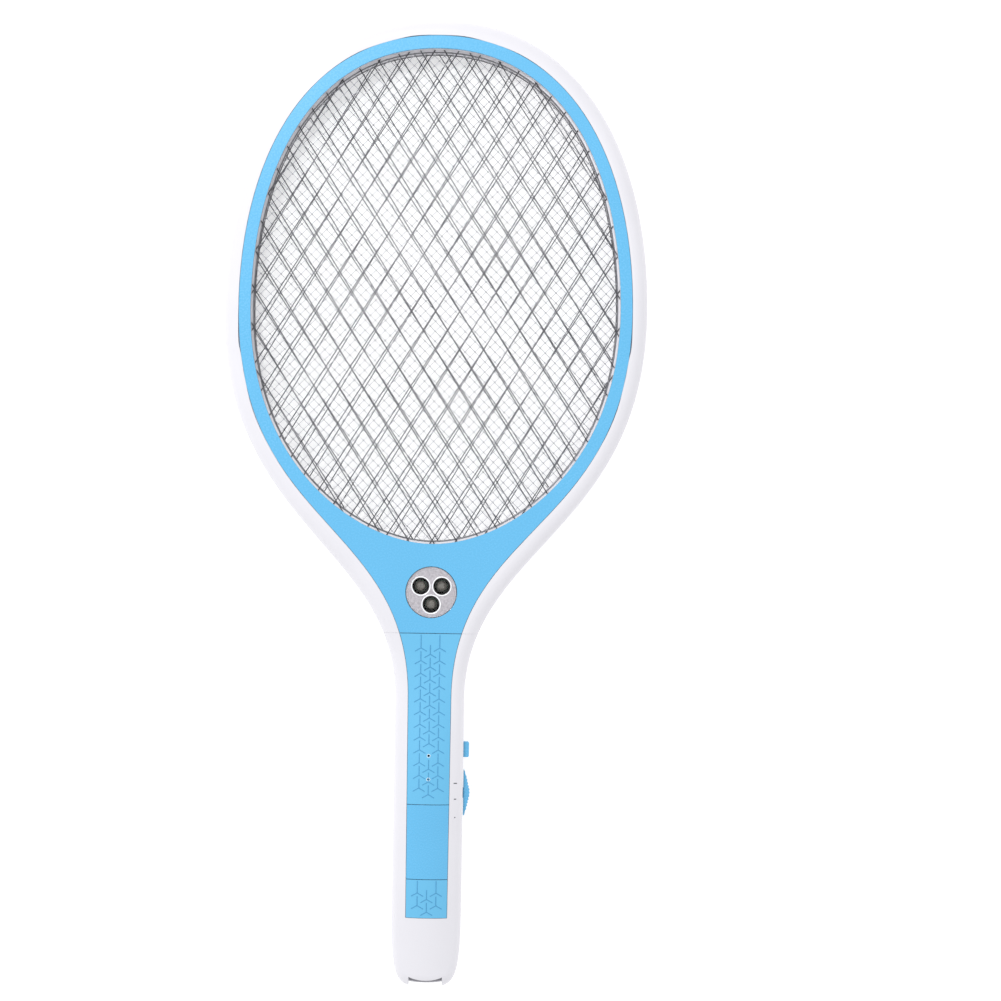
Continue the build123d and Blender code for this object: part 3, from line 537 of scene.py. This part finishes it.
def plated(name, low, high, grain, rough):
    """A plated metal: two near tints and a gloss that varies with a fine grain."""
    material, shader = surface(name, Metallic=1.0)
    place = add(material, "TexCoord", {}).outputs["Object"]
    noise = add(material, "TexNoise", {"Vector": place, "Scale": 1 / grain, "Detail": 3.0})
    tint = add(material, "Mix", {0: noise.outputs[0], 6: linear(low), 7: linear(high)},
               data_type="RGBA")
    gloss = add(material, "MapRange", {0: noise.outputs[0], 3: rough - 0.08, 4: rough + 0.08})
    bump = add(material, "Bump", {"Strength": 0.15, "Distance": 0.00003,
                                  "Height": noise.outputs[0]})
    links = material.node_tree.links
    links.new(tint.outputs[2], shader.inputs["Base Color"])
    links.new(gloss.outputs[0], shader.inputs["Roughness"])
    links.new(bump.outputs[0], shader.inputs["Normal"])
    return material


# Zinc-plated steel: grey with a soft blue-white sheen.
dress(plated("zinc-plated steel", "#8E9094", "#B4B6BA", 0.0008, 0.35),
      "shell_screws", "board_screws")
# Bright nickel: warm white mirror with a slight haze.
dress(plated("bright nickel", "#B9B5AC", "#D2CEC6", 0.0012, 0.22),
      "charging_socket", "battery_tabs")
# Rolled brass: yellow, satin.
dress(plated("rolled brass", "#C9A452", "#DDBB6C", 0.001, 0.3), "grid_contacts")

# ==== Circuit and battery
# The high-voltage board fills the handle above the battery. These parts show only through
# gaps and in the parts list, but each has its own real finish.

# Green solder mask over glass-epoxy, with a fine weave that shows through.
solder_mask, shader = surface("green solder mask", IOR=1.55, Roughness=0.3)
place = add(solder_mask, "TexCoord", {}).outputs["Object"]
weave = add(solder_mask, "TexWave", {"Vector": place, "Scale": 1 / 0.0012, "Distortion": 0.4})
tint = add(solder_mask, "Mix", {0: weave.outputs[1], 6: linear("#1E5A36"), 7: linear("#2A6E45")},
           data_type="RGBA")
solder_mask.node_tree.links.new(tint.outputs[2], shader.inputs["Base Color"])
dress(solder_mask, "circuit_board", "lamp_board", "charge_board")

# Sintered ferrite: charcoal, granular and dull.
dress(moulded("sintered ferrite", "#2B2B2D", "#3C3C3F", 0.0004, 0.6, 0.6), "transformer_core")

# Enamelled copper wire in close turns: red-brown with a line for each turn.
enamel, shader = surface("enamelled copper", Metallic=0.8, Roughness=0.3, Coat_Weight=0.5)
place = add(enamel, "TexCoord", {}).outputs["Object"]
turns = add(enamel, "TexWave", {"Vector": place, "Scale": 1 / 0.003, "Distortion": 0.3},
            bands_direction="Z")
tint = add(enamel, "Mix", {0: turns.outputs[1], 6: linear("#7A3A1E"), 7: linear("#B9673A")},
           data_type="RGBA")
bump = add(enamel, "Bump", {"Strength": 0.6, "Distance": 0.0001, "Height": turns.outputs[1]})
enamel.node_tree.links.new(tint.outputs[2], shader.inputs["Base Color"])
enamel.node_tree.links.new(bump.outputs[0], shader.inputs["Normal"])
dress(enamel, "transformer_winding")

# Dipped epoxy and lacquer: glossy coats with a slight orange peel.
dress(moulded("red dipped epoxy", "#9A2A22", "#AF352B", 0.0012, 0.3, 0.25), "storage_capacitor")
dress(moulded("blue dipped epoxy", "#2C5FA8", "#386CB8", 0.0012, 0.3, 0.25), "disc_capacitors")
dress(moulded("black moulded epoxy", "#1A1A1C", "#242427", 0.0006, 0.3, 0.5), "diodes")
dress(moulded("beige lacquer", "#CDB48A", "#D9C39C", 0.001, 0.2, 0.35), "resistors")
# Shrink-wrapped PVC on the cell and PVC on the leads: smooth, slightly waxy.
dress(moulded("green PVC wrap", "#2F8F6B", "#3A9C78", 0.003, 0.2, 0.3), "battery_cell")
dress(moulded("red PVC lead", "#B3261E", "#C2332A", 0.0015, 0.15, 0.4),
      "battery_leads", "charging_leads", "high_voltage_leads")
dress(moulded("black PVC lead", "#202022", "#2B2B2E", 0.0015, 0.15, 0.4), "lamp_leads")

# ==== Floor, light and camera
# The swatter lies face up on a white sheet under a wide soft light, and the camera looks
# straight down from 1.5 m, turned by a degree and aimed to the right of it.

# Opal white sheet lit faintly from below: an even, very pale surface with soft shadows.
card = moulded("opal white sheet", "#F4F4F4", "#F8F8F8", 0.002, 0.1, 0.9, IOR=1.3,
               Emission_Color=linear("#FFFFFF"), Emission_Strength=0.3)
bm = bmesh.new()
bmesh.ops.create_grid(bm, x_segments=2, y_segments=2, size=2.0)
mesh = bpy.data.meshes.new("floor")
bm.to_mesh(mesh)
bm.free()
mesh.materials.append(card)
floor = bpy.data.objects.new("floor", mesh)
bpy.context.collection.objects.link(floor)

world = bpy.data.worlds.new("studio")
bpy.context.scene.world = world
world.use_nodes = True
world.node_tree.nodes["Background"].inputs["Color"].default_value = linear("#FFFFFF")
world.node_tree.nodes["Background"].inputs["Strength"].default_value = 0.97

lamp = bpy.data.lights.new("softbox", "AREA")
lamp.size = 1.4
lamp.energy = 5.0
softbox = bpy.data.objects.new("softbox", lamp)
softbox.location = (-1.1, 0.8, 1.0)
softbox.rotation_euler = (Vector((0, 0, 0)) - softbox.location).to_track_quat("-Z", "Y").to_euler()
bpy.context.collection.objects.link(softbox)

lamp = bpy.data.lights.new("window", "AREA")
lamp.size = 0.1
lamp.energy = 3.0
window = bpy.data.objects.new("window", lamp)
window.location = (-0.25, 0.45, 0.9)
window.rotation_euler = (Vector((0, 0, 0)) - window.location).to_track_quat("-Z", "Y").to_euler()
bpy.context.collection.objects.link(window)

CAMERA_HEIGHT = 1.516
lens = bpy.data.cameras.new("camera")
lens.lens = 114.4
lens.sensor_width = 36.0
lens.shift_x = 0.0678
lens.shift_y = 0.002
camera = bpy.data.objects.new("camera", lens)
camera.location = (0, 0, CAMERA_HEIGHT)
camera.rotation_euler = (0, 0, radians(0.9))
bpy.context.collection.objects.link(camera)
bpy.context.scene.camera = camera
bpy.context.scene.view_settings.view_transform = "Standard"
